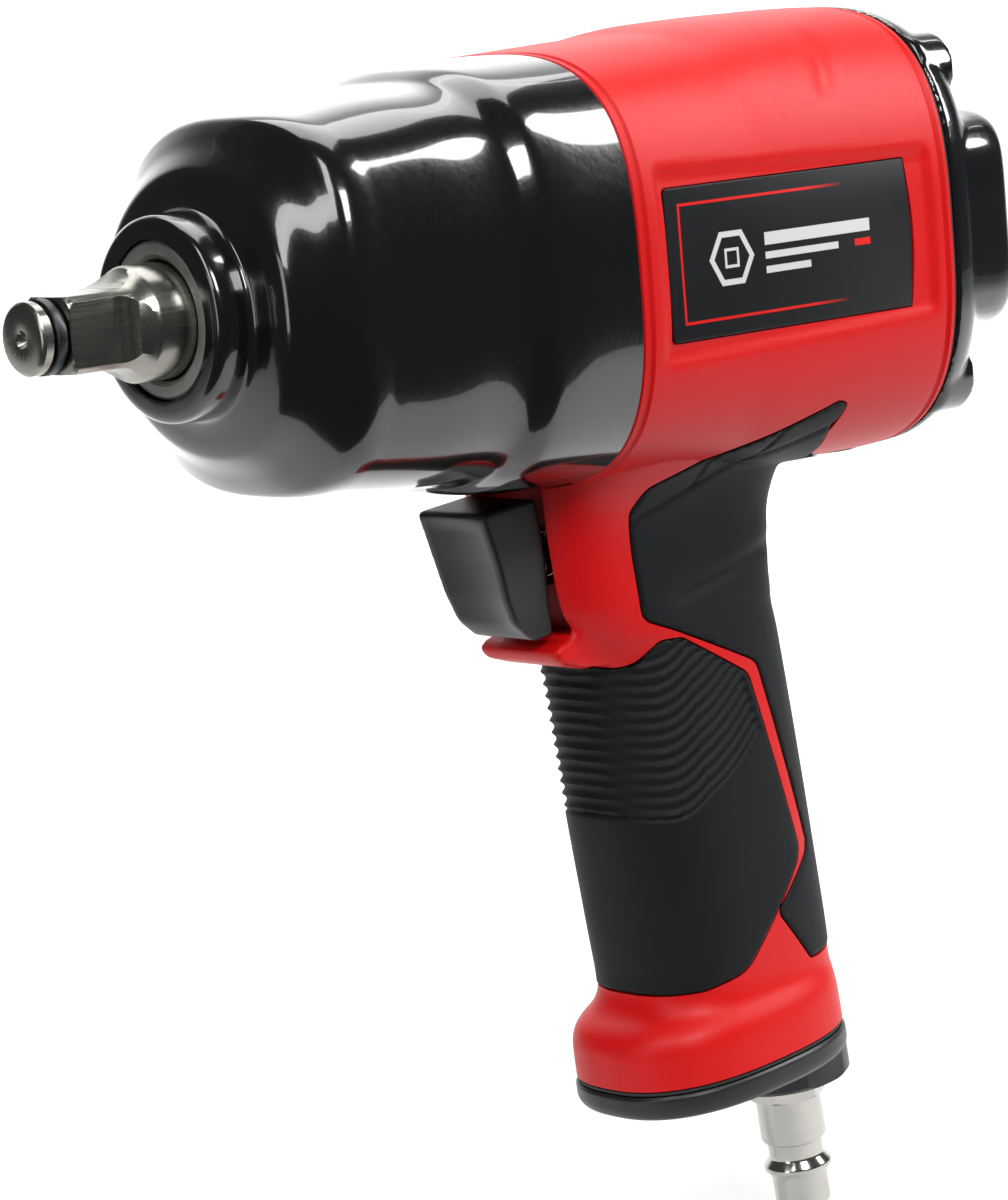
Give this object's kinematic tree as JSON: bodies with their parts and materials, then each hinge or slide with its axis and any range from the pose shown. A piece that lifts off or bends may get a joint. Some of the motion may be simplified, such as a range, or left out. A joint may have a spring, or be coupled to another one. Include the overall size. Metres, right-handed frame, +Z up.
{
  "type": "pneumatic impact wrench",
  "caption": "Pistol-grip air impact wrench with a square drive at the nose, a rounded hammer case, a two-part rubber grip, a trigger and an air plug under the handle.",
  "frame": {"origin": "centre of the square drive's end face, on the drive axis", "axes": "X along the drive axis with the nose at -X and the rear cover at +X, +Z up with the handle at -Z, Y across the tool"},
  "size_m": [0.197, 0.075, 0.2241],
  "materials": {
    "red_nylon": "satin, fine grain, bright red glass-filled nylon",
    "black_paint": "glossy black, fine orange-peel grain",
    "rubber": "matt near-black overmoulded rubber",
    "black_nylon": "satin black plastic",
    "label": "satin printed film, black with a red line",
    "ground_steel": "ground, light oil",
    "dark_steel": "blackened",
    "bush_steel": "grey sintered",
    "nickel": "bright nickel plate",
    "cast_iron": "machined, oiled",
    "vane": "resin-bonded fibre",
    "gasket": "matt fibre sheet",
    "felt": "pressed felt",
    "brass": "turned"
  },
  "bodies": {
    "housing": {"air_plug": "nickel", "anvil_bush": "bush_steel", "base_gasket": "gasket", "base_plate": "black_nylon", "base_screw_1": "dark_steel", "base_screw_2": "dark_steel", "base_screw_3": "dark_steel", "cover_screw_1": "dark_steel", "cover_screw_2": "dark_steel", "cover_screw_3": "dark_steel", "cover_screw_4": "dark_steel", "cylinder_liner": "cast_iron", "exhaust_muffler": "felt", "front_bearing_outer_race": "ground_steel", "front_end_plate": "cast_iron", "front_grip": "rubber", "hammer_case": "black_paint", "inlet_collar": "black_nylon", "inlet_screen": "brass", "label_left": "label", "label_right": "label", "motor_housing": "red_nylon", "rear_bearing_outer_race": "ground_steel", "rear_cover": "black_paint", "rear_end_plate": "cast_iron", "rear_gasket": "gasket", "rear_grip": "rubber", "rod_bush": "brass", "trigger_spring": "ground_steel", "valve_seat": "brass", "valve_sleeve": "cast_iron"},
    "anvil": {"anvil": "ground_steel", "retaining_ring": "dark_steel"},
    "motor": {"rotor": "ground_steel", "rotor_vane_1": "vane", "rotor_vane_2": "vane", "rotor_vane_3": "vane", "rotor_vane_4": "vane", "rotor_vane_5": "vane", "rotor_vane_6": "vane", "hammer_cage": "cast_iron", "hammer_pin_top": "ground_steel", "hammer_pin_bottom": "ground_steel", "front_bearing_inner_race": "ground_steel", "rear_bearing_inner_race": "ground_steel"},
    "front_hammer": {"hammer_front": "cast_iron"},
    "rear_hammer": {"hammer_rear": "cast_iron"},
    "front_balls": {"front_bearing_balls": "nickel"},
    "rear_balls": {"rear_bearing_balls": "nickel"},
    "trigger": {"trigger": "black_nylon", "trigger_rod": "ground_steel"},
    "throttle": {"throttle_valve": "brass"},
    "selector": {"selector_knob": "black_nylon", "reverse_valve": "brass"}
  },
  "joints": [
    {"name": "motor_spin", "type": "hinge", "parent": "housing", "child": "motor", "pos_m": [0.128, 0, 0], "axis": [1, 0, 0], "continuous": true},
    {"name": "anvil_spin", "type": "hinge", "parent": "housing", "child": "anvil", "pos_m": [0.034, 0, 0], "axis": [1, 0, 0], "continuous": true},
    {"name": "front_balls_spin", "type": "hinge", "parent": "housing", "child": "front_balls", "pos_m": [0.1011, 0, 0], "axis": [1, 0, 0], "continuous": true},
    {"name": "rear_balls_spin", "type": "hinge", "parent": "housing", "child": "rear_balls", "pos_m": [0.1592, 0, 0], "axis": [1, 0, 0], "continuous": true},
    {"name": "front_hammer_swing", "type": "hinge", "parent": "motor", "child": "front_hammer", "pos_m": [0.0579, 0, 0.0217], "axis": [1, 0, 0], "range_deg": [0, 5]},
    {"name": "rear_hammer_swing", "type": "hinge", "parent": "motor", "child": "rear_hammer", "pos_m": [0.0729, 0, -0.0217], "axis": [1, 0, 0], "range_deg": [0, 5]},
    {"name": "trigger_slide", "type": "slide", "parent": "housing", "child": "trigger", "axis": [0.9945, 0, 0.1045], "range_m": [0, 0.006], "stiffness_N_per_m": 800, "springref_m": -0.004, "deforming": ["trigger_spring"]},
    {"name": "throttle_tilt", "type": "hinge", "parent": "housing", "child": "throttle", "pos_m": [0.13398, 0, -0.08071], "axis": [0, 1, 0], "range_deg": [0, 10.4]},
    {"name": "selector_turn", "type": "hinge", "parent": "housing", "child": "selector", "pos_m": [0.19, 0, 0], "axis": [1, 0, 0], "range_deg": [-45, 45]}
  ],
  "couplings": [
    {"joint": "anvil_spin", "follows": "motor_spin", "ratio": 1},
    {"joint": "front_balls_spin", "follows": "motor_spin", "ratio": 0.369},
    {"joint": "rear_balls_spin", "follows": "motor_spin", "ratio": 0.386},
    {"joint": "throttle_tilt", "follows": "trigger_slide", "rad_per_m": 30}
  ]
}
